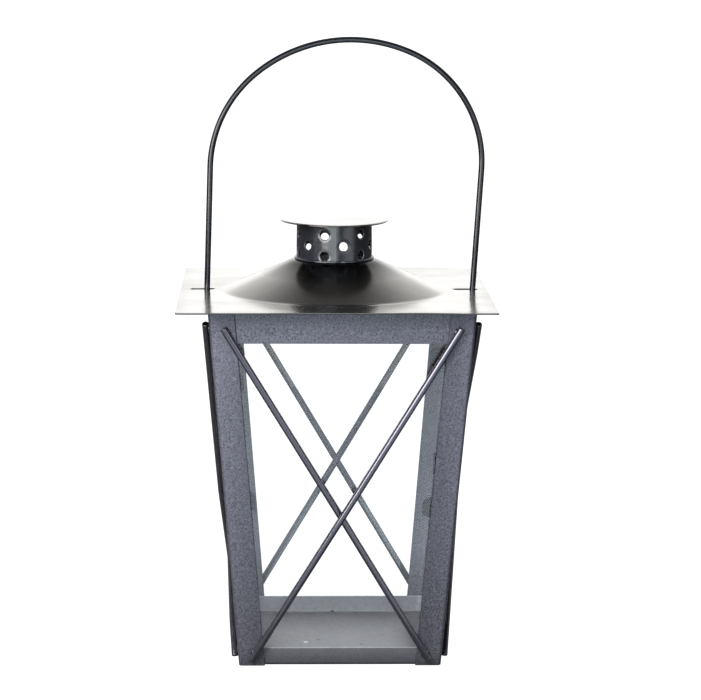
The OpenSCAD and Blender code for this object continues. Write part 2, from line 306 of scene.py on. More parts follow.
def sheet(shell, outline, holes, inner, thickness, place, edge, edge_shading_and_wear, under=0.0):
    """A sheet of metal with rounded edges: place(u, v, w) gives a point of it, where w is
    0 on the outer face and minus the thickness on the inner face. inner holds the points
    of the faces, and under is the shading-and-wear value of the inner one."""
    loops = [outline] + list(holes)
    pulled = [pulled_in(loop, edge, i > 0) for i, loop in enumerate(loops)]
    flat = []
    edges = []
    for loop in pulled:
        start = len(flat)
        flat += [Vector(p) for p in loop]
        edges += [(start + k, start + (k + 1) % len(loop)) for k in range(len(loop))]
    rims = len(flat)
    flat += [Vector(p) for p in inner]
    verts, _, faces, origins, _, _ = geometry.delaunay_2d_cdt(flat, edges, [], 0, 1e-5)
    kept = []
    for face in faces:
        centre = sum((verts[i] for i in face), Vector((0, 0))) / len(face)
        if inside(centre, pulled[0]) and not any(inside(centre, p) for p in pulled[1:]):
            kept.append(list(face))
    where = {}
    for index, sources in enumerate(origins):
        for source in sources:
            where[source] = index
    used = sorted({i for face in kept for i in face} | {where[i] for i in range(rims)})
    rank = {old: new for new, old in enumerate(used)}
    count = len(used)
    mesh = [place(verts[i].x, verts[i].y, 0) for i in used]
    mesh += [place(verts[i].x, verts[i].y, -thickness) for i in used]
    shading_and_wear = [0.0] * count + [under] * count
    made = [[rank[i] for i in face] for face in kept]
    made += [[count + rank[i] for i in reversed(face)] for face in kept]

    # The edge's painted shade and wear fade in over the rounding of the outer edge, and out
    # again on the inner face
    top_shading_and_wear, rounding_shading_and_wear, bottom_shading_and_wear = 0.2 * edge_shading_and_wear, 0.5 * edge_shading_and_wear, 0.6 * edge_shading_and_wear
    bow = edge * (1 - math.sqrt(0.5))
    start = 0
    for order, loop in enumerate(loops):
        n = len(loop)
        top = [rank[where[start + k]] for k in range(n)]
        bottom = [count + i for i in top]
        half = pulled_in(loop, bow, order > 0)
        rows = [top]
        for ring, w, shading_and_wear_mark in (
            (half, -bow, rounding_shading_and_wear), (loop, -edge, edge_shading_and_wear),
            (loop, edge - thickness, edge_shading_and_wear), (half, bow - thickness, edge_shading_and_wear),
        ):
            rows.append(list(range(len(mesh), len(mesh) + n)))
            mesh += [place(p[0], p[1], w) for p in ring]
            shading_and_wear += [shading_and_wear_mark] * n
        rows.append(bottom)
        for a, b in zip(rows, rows[1:]):
            for k in range(n):
                m = (k + 1) % n
                made.append([a[k], b[k], b[m], a[m]])
        for i in top:
            shading_and_wear[i] = top_shading_and_wear
        for i in bottom:
            shading_and_wear[i] = max(under, bottom_shading_and_wear)
        start += n
    shell.add(mesh, made, shading_and_wear)


# ---------------------------------------------------------------- material helpers

# The colour sockets of Blender's Mix node, which has others of the same names
MIX_A, MIX_B, MIX_RESULT = 6, 7, 2


def blank(name):
    """A new material, its node tree and its shader."""
    material = bpy.data.materials.new(name)
    material.use_nodes = True
    tree = material.node_tree
    return material, tree, tree.nodes["Principled BSDF"]


def object_place(tree):
    """The socket of the place on the object, in metres."""
    return tree.nodes.new("ShaderNodeTexCoord").outputs["Object"]


def noise_of(tree, place, scale, detail=2.0, rough=0.5, stretch=None):
    """A noise texture with `scale` features per metre."""
    if stretch:
        mapping = tree.nodes.new("ShaderNodeMapping")
        mapping.inputs["Scale"].default_value = stretch
        tree.links.new(place, mapping.inputs["Vector"])
        place = mapping.outputs["Vector"]
    made = tree.nodes.new("ShaderNodeTexNoise")
    made.inputs["Scale"].default_value = scale
    made.inputs["Detail"].default_value = detail
    made.inputs["Roughness"].default_value = rough
    tree.links.new(place, made.inputs["Vector"])
    return made.outputs["Fac"]


def ramp(tree, source, stops):
    """A colour ramp from (position, colour) pairs; a colour may be one number."""
    made = tree.nodes.new("ShaderNodeValToRGB")
    elements = made.color_ramp.elements
    while len(elements) < len(stops):
        elements.new(0.5)
    for element, (position, colour) in zip(elements, stops):
        element.position = position
        if not hasattr(colour, "__len__"):
            colour = (colour,) * 3
        element.color = (*colour, 1)
    tree.links.new(source, made.inputs["Fac"])
    return made.outputs["Color"]


def fill(tree, socket, value):
    """Links a socket to another, or sets it to a colour or a number."""
    if hasattr(value, "links"):
        tree.links.new(value, socket)
    elif hasattr(value, "__len__"):
        socket.default_value = (*value, 1)
    else:
        socket.default_value = value


def mixed(tree, factor, a, b, blend="MIX"):
    """Colour a mixed with colour b; each may be a socket or a colour."""
    made = tree.nodes.new("ShaderNodeMix")
    made.data_type = "RGBA"
    made.blend_type = blend
    fill(tree, made.inputs["Factor"], factor)
    fill(tree, made.inputs[MIX_A], a)
    fill(tree, made.inputs[MIX_B], b)
    return made.outputs[MIX_RESULT]


def number(tree, operation, *values):
    """The result of a sum; each value may be a socket or a number."""
    made = tree.nodes.new("ShaderNodeMath")
    made.operation = operation
    for socket, value in zip(made.inputs, values):
        fill(tree, socket, value)
    return made.outputs[0]


def axes(tree, vector):
    """The X, Y and Z of a vector socket, by name."""
    made = tree.nodes.new("ShaderNodeSeparateXYZ")
    tree.links.new(vector, made.inputs[0])
    return made.outputs


def shading_and_wear_values(tree):
    """The value of painted shade, painted light and wear that Shell keeps for each vertex."""
    made = tree.nodes.new("ShaderNodeAttribute")
    made.attribute_name = "shading_and_wear"
    return made.outputs["Fac"]


def bump(tree, shader, height, distance, strength):
    """Relief of a height texture, with its depth in metres."""
    made = tree.nodes.new("ShaderNodeBump")
    made.inputs["Strength"].default_value = strength
    made.inputs["Distance"].default_value = distance
    tree.links.new(height, made.inputs["Height"])
    tree.links.new(made.outputs["Normal"], shader.inputs["Normal"])


def show_mix(tree, factor, first, second):
    """Makes a mix of two shader nodes the material's surface."""
    both = tree.nodes.new("ShaderNodeMixShader")
    tree.links.new(factor, both.inputs[0])
    tree.links.new(first.outputs[0], both.inputs[1])
    tree.links.new(second.outputs[0], both.inputs[2])
    tree.links.new(both.outputs[0], tree.nodes["Material Output"].inputs[0])


# ---------------------------------------------------------------- materials

def specked(tree, place, colour, strength):
    """A colour with a few pale and dark specks of dirt, on the tray's floor only, because
    the pattern is flat and would make streaks on a wall."""
    floor_top = 0.0013
    fewest = 0.5
    lying = number(tree, "LESS_THAN", axes(tree, place)["Z"], floor_top)
    for scale, size, tone in ((40, 0.028, 0.8), (66, 0.034, 0.01)):
        dots = tree.nodes.new("ShaderNodeTexVoronoi")
        dots.voronoi_dimensions = "2D"
        dots.inputs["Scale"].default_value = scale
        tree.links.new(place, dots.inputs["Vector"])
        spot = ramp(tree, dots.outputs["Distance"], [(size, 1.0), (size * 1.6, 0.0)])
        pick = ramp(tree, noise_of(tree, place, scale / 2, 0),
                    [(fewest, 0.0), (fewest + 0.02, 1.0)])
        spot = number(tree, "MULTIPLY", spot, pick)
        spot = number(tree, "MULTIPLY", spot, number(tree, "MULTIPLY", lying, strength))
        colour = mixed(tree, spot, colour, (tone, tone, tone))
    return colour


def powder_coat(name, dark, light, rough, metallic, shading_and_wear_mark, specks=0.0, ior=1.5, relief=0.5):
    """Sprayed powder coat: fine metallic grain, faint mottling, and painted shade and light
    where the shell's values say.
    """
    material, tree, shader = blank(name)
    place = object_place(tree)
    grain = noise_of(tree, place, 1500, 4, 0.85)
    mottle = noise_of(tree, place, 160, 3, 0.6)
    colour = ramp(tree, grain, [(0.34, dark), (0.66, light)])
    cloud = ramp(tree, mottle, [(0.3, 0.98), (0.7, 1.0)])
    colour = mixed(tree, 1.0, colour, cloud, "MULTIPLY")
    # Painted shade and painted light: the shell's values, broken up by a patch of noise, mix in
    # a last colour, dark on the posts' flange edges and feet and pale on the tray's rim, inner
    # wall and floor
    patch = ramp(tree, noise_of(tree, place, 420, 2), [(0.35, 0.78), (0.6, 1.0)])
    edge = number(tree, "MULTIPLY", shading_and_wear_values(tree), patch)
    colour = mixed(tree, edge, colour, shading_and_wear_mark)
    if specks:
        colour = specked(tree, place, colour, specks)
    tree.links.new(colour, shader.inputs["Base Color"])
    shine = ramp(tree, grain, [(0.3, rough - 0.05), (0.7, rough + 0.05)])
    tree.links.new(shine, shader.inputs["Roughness"])
    shader.inputs["Metallic"].default_value = metallic
    shader.inputs["IOR"].default_value = ior
    bump(tree, shader, grain, 0.00008, relief)
    return material


def dark_reflection_ring(tree, place, colour, inner_mm, outer_mm):
    """A colour darkened around the chimney, fading out from one radius to the
    other: a painted dark reflection of the collar and the cap in the dome."""
    full_scale = 0.1
    side = axes(tree, place)
    across = number(tree, "SUBTRACT", side["X"], ROOF_X * MM)
    across = number(tree, "POWER", number(tree, "ABSOLUTE", across), 2)
    along = number(tree, "POWER", number(tree, "ABSOLUTE", side["Y"]), 2)
    away = number(tree, "SQRT", number(tree, "ADD", across, along))
    away = number(tree, "MULTIPLY", away, 1 / full_scale)
    reflected_dark = ramp(tree, away, [
        (inner_mm * MM / full_scale, 0.1), (outer_mm * MM / full_scale, 1.0),
    ])
    return mixed(tree, 1.0, colour, reflected_dark, "MULTIPLY")


def rolled_steel(name, tint, rough, smudge, dark_reflection=None):
    """Bare rolled sheet: a blurred mirror with faint rolling lines and smudges, and a ring
    darkened from the first radius to the second around the chimney, a painted dark reflection
    of the collar and cap."""
    material, tree, shader = blank(name)
    place = object_place(tree)
    lines = noise_of(tree, place, 900, 3, 0.6, stretch=(0.06, 1.0, 1.0))
    cloud = noise_of(tree, place, 38, 4, 0.6)
    colour = ramp(tree, cloud, [
        (0.3, [c * (1 - smudge) for c in tint]), (0.7, tint),
    ])
    fine = ramp(tree, lines, [(0.3, 0.95), (0.7, 1.0)])
    colour = mixed(tree, 1.0, colour, fine, "MULTIPLY")
    # Painted dark reflection of the collar and cap, round the chimney
    if dark_reflection:
        colour = dark_reflection_ring(tree, place, colour, *dark_reflection)
    # Painted shade: near black where the shell's values say, along the roof plate's edges and
    # down the cap's rim and over its underside; the roof plate's underside is darkened the same
    # way
    colour = mixed(tree, shading_and_wear_values(tree), colour, (0.02, 0.02, 0.021))
    tree.links.new(colour, shader.inputs["Base Color"])
    shine = ramp(tree, cloud, [(0.3, rough + 0.04), (0.7, rough - 0.03)])
    tree.links.new(shine, shader.inputs["Roughness"])
    shader.inputs["Metallic"].default_value = 1.0
    bump(tree, shader, lines, 0.000012, 0.35)
    return material


def black_enamel(name, dark, light, rough, scale, ripple, ior):
    """Blue-black enamel on steel: thin, glossy and a little uneven."""
    material, tree, shader = blank(name)
    place = object_place(tree)
    cloud = noise_of(tree, place, scale, 4, 0.6)
    colour = ramp(tree, cloud, [(0.3, dark), (0.7, light)])
    colour = mixed(tree, shading_and_wear_values(tree), colour, (0.2, 0.21, 0.23))
    tree.links.new(colour, shader.inputs["Base Color"])
    shine = ramp(tree, cloud, [(0.3, rough + 0.06), (0.7, rough - 0.06)])
    tree.links.new(shine, shader.inputs["Roughness"])
    shader.inputs["IOR"].default_value = ior
    bump(tree, shader, noise_of(tree, place, scale * 3, 2), ripple, 0.6)
    return material


def window_glass(name):
    """Clear sheet glass with faint dust, which lets light straight through."""
    material, tree, shader = blank(name)
    dust = noise_of(tree, object_place(tree), 55, 5, 0.65)
    tint = ramp(tree, dust, [(0.3, (0.985, 0.995, 0.992)), (0.7, (0.97, 0.985, 0.982))])
    tree.links.new(tint, shader.inputs["Base Color"])
    haze = ramp(tree, dust, [(0.45, 0.0), (0.8, 0.02)])
    tree.links.new(haze, shader.inputs["Roughness"])
    shader.inputs["IOR"].default_value = 1.5
    shader.inputs["Transmission Weight"].default_value = 1.0
    clear = tree.nodes.new("ShaderNodeBsdfTransparent")
    path = tree.nodes.new("ShaderNodeLightPath")
    show_mix(tree, path.outputs["Is Shadow Ray"], shader, clear)
    return material


# The body paint's last colour is its painted shade, on the posts' flange edges and feet
PAINT = powder_coat(
    "body paint", (0.035, 0.035, 0.046), (0.205, 0.205, 0.25), 0.42, 0.35,
    (0.03, 0.03, 0.036), ior=1.32,
)
# The tray paint's last colour is its painted light, on the rim, the inner wall and the floor
TRAY_PAINT = powder_coat(
    "tray paint", (0.104, 0.104, 0.121), (0.136, 0.138, 0.158), 0.3, 0.4,
    (0.42, 0.43, 0.47), specks=0.9, ior=1.32, relief=0.06,
)
ROD_PAINT = powder_coat(
    "rod paint", (0.085, 0.081, 0.098), (0.125, 0.119, 0.143), 0.16, 0.85,
    (0.3, 0.3, 0.33), relief=0.0,
)
CLIP_PAINT = powder_coat(
    "clip paint", (0.004, 0.004, 0.005), (0.012, 0.012, 0.014), 0.5, 0.0,
    (0.3, 0.3, 0.33), ior=1.3, relief=0.1,
)
STEEL = rolled_steel("rolled steel", (0.72, 0.71, 0.685), 0.17, 0.1)
# (18, 29) are the radii, in millimetres, of the painted dark reflection round the chimney
ROOF_STEEL = rolled_steel("roof steel", (0.72, 0.705, 0.675), 0.18, 0.12, (18, 29))
COLLAR = black_enamel("collar enamel", (0.008, 0.009, 0.013), (0.02, 0.0225, 0.03), 0.24,
                      140, 0.00003, 1.6)
WIRE = black_enamel("wire enamel", (0.005, 0.006, 0.0085), (0.01, 0.012, 0.016), 0.12,
                    260, 0.000003, 1.4)
GLASS = window_glass("window glass")


# ---------------------------------------------------------------- body

def corner_profile(inset):
    """The flat outline of a corner post around its outer corner, pulled in by inset."""
    outer_bend, inner_bend = 1.3, 0.5
    t = SHEET / math.cos(LEAN)
    f, d = FLANGE, inset
    points = [
        (-f + d, d), (-d, d), (-d, f - d), (-t + d, f - d), (-t + d, t - d), (-f + d, t - d),
    ]
    edge = 0.28 - 0.6 * d
    return rounded(points, [edge, outer_bend - d, edge, edge, inner_bend + d, edge])


def corner_post(name, degrees):
    """An L of folded sheet along a slanting corner, its flanges a little uneven."""
    soft = 0.2
    steps = 28
    unevenness, wave_length = 0.09, 26
    # Painted shade: a dark strip along each flange's edge, and a dark band at the foot where
    # the post meets the tray
    edge_shading_and_wear, shaded_strip = 0.9, 0.045
    foot_shade, foot_strip = 0.5, 0.5
    stations = broken_edge(soft)
    stations += [(soft + (BODY_H - 2 * soft) * i / steps, 0) for i in range(1, steps)]
    stations += [(BODY_H - depth, inset) for depth, inset in reversed(broken_edge(soft))]
    rings = []
    shading_and_wear = []
    for z, inset in stations:
        h = body_half(z)
        ring = []
        for p in corner_profile(inset):
            # 0 at the corner and 1 at a flange's edge
            away = min(1.0, max(-p.x, p.y) / FLANGE)
            place = Vector((z / wave_length, degrees, p.x > -1))
            wave = unevenness * away * noise.noise(place)
            dx, dy = (0, wave) if -p.x > p.y else (wave, 0)
            ring.append(turned((h + p.x + dx, -h + p.y + dy, z), degrees))
            edge = edge_shading_and_wear * max(0.0, away - 1 + shaded_strip) / shaded_strip
            shading_and_wear.append(max(edge, foot_shade if z < foot_strip else 0.0))
        rings.append(ring)
    shell = Shell()
    shell.loft(rings, shading_and_wear)
    make(name, shell, PAINT, "body", [name])


def top_rail(side, degrees, pivot):
    """A flat strip that joins two posts behind their flanges, with a hole for the handle
    where pivot is true."""
    play = 0.03
    unevenness, wave_length = 0.05, 22
    hole_r, ring_r, clear = 1.28, 2.0, 3

    def place(u, v, w):
        bend = Vector((u / wave_length, v / wave_length, degrees))
        wave = unevenness * noise.noise(bend)
        return turned(on_front(u, v, -SHEET - play + w + wave), degrees)

    gap = 2 * SHEET + 2 * play
    low, high = RAIL_LOW, BODY_H - 0.05
    outline = [
        (-body_half(low) + gap, low), (body_half(low) - gap, low),
        (body_half(high) - gap, high), (-body_half(high) + gap, high),
    ]
    outline = [tuple(p) for p in rounded(outline, [0.4] * 4)]
    holes = []
    inner = [(x * 6.0, low + dz) for x in range(-7, 8) for dz in (3.5, 6.5)]
    if pivot:
        holes = [circle(0, PIVOT_Z, hole_r, 24)]
        inner = [p for p in inner if abs(p[0]) > clear or abs(p[1] - PIVOT_Z) > clear]
        inner += circle(0, PIVOT_Z, ring_r, 16)
    shell = Shell()
    sheet(shell, outline, holes, inner, SHEET - 2 * play, place, edge=0.2, edge_shading_and_wear=0.0)
    make("top_rail_" + side, shell, PAINT, "body", ["top_rail_" + side])


def base_tray():
    """A square pan with a soft bend round its slightly dented floor."""
    outer_bend, inner_bend = 1.3, 0.6
    dents = ((0.28, 17, 2.3), (0.1, 6, 5.1))
    base = FOOT_HALF - SHEET
    steps = 14

    def ring(inset, z, dent):
        half = base + z * SLOPE - inset
        out = []
        for side in range(4):
            for k in range(steps):
                x = half * (2 * k / steps - 1)
                p = turned((x, -half, z), 90 * side)
                p.z += uneven(p.x, p.y, dents) * dent
                out.append(p)
        return out

    def bend(start, radius, turns):
        """A quarter circle between a wall and a floor that both start at `start`."""
        for turn in (math.radians(a) for a in turns):
            yield (start + radius * (1 - math.sin(turn)), start + radius * (1 - math.cos(turn)))

    # The section, from under the floor up the wall, over its rim and down to the floor
    rim = broken_edge(0.22)
    profile = list(bend(0, outer_bend, range(0, 91, 18)))
    profile += [(inset, TRAY_H - depth) for depth, inset in reversed(rim)]
    profile += [(SHEET - inset, TRAY_H - depth) for depth, inset in rim]
    profile += list(bend(SHEET, inner_bend, range(90, -1, -18)))
    rings = [ring(d, z, 0) for d, z in profile]
    # Painted light: a painted highlight over the rim and a paler inner wall, fading out in the
    # bend to the floor
    shading_and_wear = [0.0] * 6 + [0.3, 0.9, 0.9, 0.9, 0.9, 0.4] + [0.5] * 3 + [0.2, 0.0, 0.0]
    floor_start = SHEET + inner_bend
    inward = 12
    for i in range(1, inward):
        share = i / inward
        inset = floor_start + (base - floor_start) * share
        rings.append(ring(inset, SHEET, min(1, share * 3)))
        # Painted light: the floor grows paler towards its middle
        shading_and_wear.append(min(0.3, 0.7 * share))
    shell = Shell()
    shell.loft(rings, shading_and_wear)
    make("base_tray", shell, TRAY_PAINT, "body", ["base_tray"])


CLIP_L = 7.6
CLIP_T = 0.6
# Height of its middle and reach over the pane, for the left clip and the right one
CLIPS = ((112, 7.4), (63, 9.3))
BACK_CLIPS = ((106.5, 5.6), (47, 5.6))


def clip_profile(reach, inset):
    """The bent outline of a clip, across the corner post's flange."""
    foot, web = 1.4, 3.8
    back = 2 * SHEET + PANE_GAP + PANE + PANE_GAP
    d = inset
    points = [
        (foot + d, SHEET + d), (web + CLIP_T - d, SHEET + d),
        (web + CLIP_T - d, back + d), (web + reach - d, back + d),
        (web + reach - d, back + CLIP_T - d), (web + d, back + CLIP_T - d),
        (web + d, SHEET + CLIP_T - d), (foot + d, SHEET + CLIP_T - d),
    ]
    edge, outer_bend, inner_bend = 0.12, 0.5, 0.25
    bends = [edge, outer_bend, inner_bend, edge]
    return rounded(points, bends + bends, 3)


def clips(side, degrees):
    """Two bent tabs with rounded corners that hold a pane against its posts."""
    steps = 12
    corner_cut = 0.22
    shell = Shell()
    for (middle, most), mirror in zip(BACK_CLIPS if side == "back" else CLIPS, (1, -1)):
        rings = []
        for i in range(steps + 1):
            t = 2 * i / steps - 1
            z = middle + t * CLIP_L / 2
            reach = most - corner_cut * most * abs(t) ** 6
            ring = []
            for p in clip_profile(reach, 0.1 if abs(t) == 1 else 0):
                point = on_front(0, z, -p.y)
                point.x = (-body_half(z) + p.x) * mirror
                ring.append(turned(point, degrees))
            rings.append(ring)
        shell.loft(rings)
    make("clips_" + side, shell, CLIP_PAINT, "body", ["clips_" + side])


ROD_R = 1.32
# Room for a rod where it bends, and between it and what it passes
BEND_R = 1.03 * ROD_R
ROD_GAP = 0.05
GLASS_OUT = -(2 * SHEET + PANE_GAP)
# Distance of the rods' upper ends from the middle of their side, the height of these ends
# and the distance of the lower ends
ROD_ENDS = {
    "front": (44.6, 134.2, 34.3), "right": (44.6, 135, 34.3),
    "back": (42.7, 134.2, 36.7), "left": (44.6, 135, 34.3),
}
ROD_FOOT_Z = 2.8
# Share of an inner rod's length, at each end, that lies against the post
ROD_GRIP = 0.09


def eased(line, s, reach):
    """The height at s of a line of (distance, height) points, its corners eased by reach."""
    side = 3
    total = 0.0
    for k in range(-side, side + 1):
        x = min(max(s + k * reach / side, line[0][0]), line[-1][0])
        for (s0, h0), (s1, h1) in zip(line, line[1:]):
            if s0 <= x <= s1:
                total += h0 + (h1 - h0) * (x - s0) / (s1 - s0)
                break
    return total / (2 * side + 1)


def cross_rod(side, degrees, outer):
    """The rod pressed in to the glass, or the one that bows over it where they cross."""
    name = ("outer_rod_" if outer else "inner_rod_") + side
    top_x, top_z, foot_x = ROD_ENDS[side]
    mirror = 1 if outer else -1
    top = Vector((mirror * top_x, top_z))
    foot = Vector((-mirror * foot_x, ROD_FOOT_Z))
    length = (top - foot).length
    cross = length * foot_x / (top_x + foot_x)
    grip = ROD_GRIP * length
    crossing_out = GLASS_OUT + ROD_GAP + BEND_R
    if outer:
        line = [(0, ROD_R), (cross, crossing_out + 2 * BEND_R + ROD_GAP), (length, ROD_R)]
    else:
        line = [(0, ROD_R), (grip, BEND_R), (cross, crossing_out), (length - grip, BEND_R),
                (length, ROD_R)]
    steps = 60
    points = []
    for i in range(steps + 1):
        p = foot + (top - foot) * (i / steps)
        out = eased(line, length * i / steps, 2.4)
        if not outer:
            out = max(out, crossing_out - 0.02)
        points.append(turned(on_front(p.x, p.y, out), degrees))
    shell = Shell()
    tube(shell, points, ROD_R, 24, 0.3)

    # The weld beads, a little in from the ends
    weld_in, weld_out, weld_size = 2.6, 0.2, (1.5, 1.9, 0.5)
    across = turned((1, 0, 0), degrees)
    up = turned(on_front(0, 1, 0) - on_front(0, 0, 0), degrees).normalized()
    away = turned(on_front(0, 0, 1) - on_front(0, 0, 0), degrees)
    for p, lift in ((foot, weld_in), (top, -weld_in)):
        way = (top - foot).normalized() * lift
        centre = turned(on_front(p.x + way.x, p.y + way.y, weld_out), degrees)
        bead(shell, centre, across, up, away, weld_size)
    make(name, shell, ROD_PAINT, "body", [name])


# ---------------------------------------------------------------- roof

NECK_R = 15.7
HOLE_R = 13.6
DOME_R = 43.5
DOME_FILLET = 5.0
DOME_SLOPE = math.atan2(DOME_RISE, DOME_R - NECK_R)
SLOT_X = 51.5
SLOT_HALF = 4.8
SLOT_R = 1.7


def dome_height(r):
    """Height of the dome above the plate at a radius."""
    edge = DOME_R + DOME_FILLET * math.tan(DOME_SLOPE / 2)
    if r >= edge:
        return 0.0
    if r >= edge - DOME_FILLET * math.sin(DOME_SLOPE):
        return DOME_FILLET - math.sqrt(DOME_FILLET ** 2 - (edge - r) ** 2)
    soft = 1.1
    if r <= NECK_R - soft:
        return DOME_RISE
    if r < NECK_R + soft:
        over = (r - NECK_R + soft) / (2 * soft)
        return DOME_RISE - soft * math.tan(DOME_SLOPE) * over * over
    return (DOME_R - r) * math.tan(DOME_SLOPE)


def roof_wave(x, y):
    """The faint unevenness that pressing leaves in the plate, and its wavy edge."""
    waves = ((0.16, 19, 7.7), (0.05, 7, 1.3))
    stiff_r, fade = 40, 12
    edge_wave, edge_turn, edge_start = 0.12, 21, 0.6
    flat = min(1.0, max(0.0, (math.hypot(x, y) - stiff_r) / fade))
    edge = max(abs(x), abs(y)) / ROOF_HALF
    return (uneven(x, y, waves) * flat
            + edge_wave * edge ** 6 * math.sin(x / edge_turn + edge_start))


def roof_plate():
    """The square plate with its pressed dome, smoke hole and handle slots."""
    def place(u, v, w):
        z = ROOF_Z + ROOF_T + dome_height(math.hypot(u, v)) + roof_wave(u, v) + w
        return Vector((ROOF_X + u, v, z))

    half = ROOF_HALF
    edge_steps, corner_r = 40, 0.8
    square = rounded([(-half, -half), (half, -half), (half, half), (-half, half)],
                     [corner_r] * 4)
    outline = []
    for i, p in enumerate(square):
        outline.append(tuple(p))
        following = square[(i + 1) % len(square)]
        if (following - p).length > half:
            outline += [tuple(p.lerp(following, k / edge_steps)) for k in range(1, edge_steps)]
    hole = circle(0, 0, HOLE_R, 96)
    slot = rounded(
        [(-SLOT_HALF, -SLOT_R), (SLOT_HALF, -SLOT_R), (SLOT_HALF, SLOT_R),
         (-SLOT_HALF, SLOT_R)], [SLOT_R - 0.01] * 4, 8,
    )
    slots = [[(side * SLOT_X + p.x, p.y) for p in slot] for side in (-1, 1)]

    # Points in rings over the dome, closest at its bends, and in a grid over the plate
    radii = [14.6, 15.2, 15.7, 16.2, 16.8, 18]
    radii += [18 + 2 * k for k in range(1, 11)]
    radii += [39.5, 41, 42, 42.6, 43.2, 43.8, 44.4, 45.2, 46.4, 48]
    inner = []
    for r in radii:
        inner += circle(0, 0, r, 128)
    step, grid_start, clear_x, clear_y = 2.5, 49.5, 6.2, 3.2
    count = int(half / step)
    for i in range(-count + 1, count):
        for j in range(-count + 1, count):
            x, y = i * step, j * step
            at_slot = abs(abs(x) - SLOT_X) < clear_x and abs(y) < clear_y
            if math.hypot(x, y) > grid_start and not at_slot:
                inner.append((x, y))
    shell = Shell()
    # Painted shade along the plate's edges, which are darkened to near black; its underside is
    # darkened to near black as well
    sheet(shell, outline, [hole] + slots, inner, ROOF_T, place, edge=0.14, edge_shading_and_wear=0.95,
          under=1.0)
    make("roof_plate", shell, ROOF_STEEL, "roof", ["roof_plate"])


COLLAR_R = 14.7
COLLAR_T = 0.5
COLLAR_H = cap_low.z - NECK_Z
COLLAR_LENGTH = 2 * math.pi * COLLAR_R
VENT_R = 1.85
# Height and turn of each row of vents from the front, in degrees
VENT_ROWS = ((2.6, -16), (6.4, 14), (10.9, -16))
VENTS_IN_ROW = 6
FRONT = math.radians(-90)
# The strip's outer end is just right of the front, and laps over its inner end
SEAM = FRONT + math.radians(2.3)
LAP = 2.2


def collar_vents():
    """(along, up, radius) of each vent on the flat strip, punched a little unequal."""
    vents = []
    for row, (z, turn) in enumerate(VENT_ROWS):
        for k in range(VENTS_IN_ROW):
            angle = FRONT + math.radians(turn + 360 / VENTS_IN_ROW * k) - SEAM
            u = (COLLAR_LENGTH + LAP + angle * COLLAR_R) % COLLAR_LENGTH
            vents.append((u, z, VENT_R * (1 + 0.05 * math.sin(3.1 * k + row))))
    return vents


def chimney_collar():
    """A strip rolled into a ring, lapped at its seam and punched with three rows of vents."""
    last = COLLAR_LENGTH + LAP
    vents = collar_vents()
    # At the lap the strip climbs over its inner end and springs off it a little, and the
    # inner end is tucked in
    climb, room, spring = 6, 0.08, 0.2
    tail, tuck = 8, 0.1
    # Punching has pressed the metal in around each vent
    dent, dent_width, dent_end = 0.14, 0.4, 1.4
    unevenness = 0.1

    def place(u, v, w):
        angle = SEAM + (u - last) / COLLAR_R
        r = COLLAR_R + w
        lap = u - COLLAR_LENGTH
        if lap > -climb:
            share = min(1.0, (lap + climb) / (climb - 1))
            r += (COLLAR_T + room) * share * share * (3 - 2 * share)
        if lap > 0:
            r += spring * (lap / LAP) ** 2
        if u < tail:
            r -= tuck * (1 - u / tail)
        for cu, cv, size in vents:
            d = math.hypot(u - cu, v - cv)
            if d < size + dent_end:
                r -= dent * math.exp(-((d - size) / dent_width) ** 2)
        way = Vector((math.cos(angle) * 2, math.sin(angle) * 2, v / 9))
        r += unevenness * noise.noise(way)
        return about_chimney(r, angle, NECK_Z + v)

    low, high = 0.05, COLLAR_H + 0.1
    along, up, sides = 110, 14, 28
    outline = [(last * k / along, low) for k in range(along)]
    outline += [(last, low + (high - low) * k / up) for k in range(up)]
    outline += [(last - last * k / along, high) for k in range(along)]
    outline += [(0, high - (high - low) * k / up) for k in range(up)]
    holes = [circle(u, v, size, sides) for u, v, size in vents]
    inner = []
    for cu, cv, size in vents:
        for extra in (0.3, 0.65, 1.1):
            ring = circle(cu, cv, size + extra, sides)
            inner += [p for p in ring if low + 0.25 < p[1] < high - 0.25]
    step = 0.85
    for i in range(1, int(last / step)):
        for j in range(1, int((high - low) / step)):
            u, v = i * step, low + j * step
            if all(math.hypot(u - cu, v - cv) > size + 1.5 for cu, cv, size in vents):
                inner.append((u, v))
    shell = Shell()
    sheet(shell, outline, holes, inner, COLLAR_T, place, edge=0.14, edge_shading_and_wear=0.35)
    make("chimney_collar", shell, COLLAR, "roof", ["chimney_collar"])


def collar_foot():
    """The bead of metal round the collar's foot, notched beside the seam."""
    segments = 160
    inner_r, outer_r = COLLAR_R - 0.45, COLLAR_R + 0.85
    low, high = NECK_Z + 0.02, NECK_Z + 0.85
    notch_turn, notch_width, notch_depth = 0.12, 0.07, 0.75
    outline = rounded([(inner_r, low), (outer_r, low), (outer_r, high), (inner_r, high)],
                      [0.1, 0.3, 0.35, 0.1])
    rings = []
    for k in range(segments):
        a = 2 * math.pi * k / segments
        gap = abs((a - SEAM - notch_turn + math.pi) % (2 * math.pi) - math.pi)
        notch = notch_depth * math.exp(-(gap / notch_width) ** 2)
        lift = 0.12 * noise.noise(Vector((math.cos(a) * 2, math.sin(a) * 2, 3)))
        rings.append([
            about_chimney(
                r - (notch if r > COLLAR_R + 0.1 else 0), a,
                z + (lift if z > NECK_Z + 0.3 else 0),
            )
            for r, z in outline
        ])
    shell = Shell()
    shell.loft(rings, looped=True)
    make("collar_foot", shell, COLLAR, "roof")


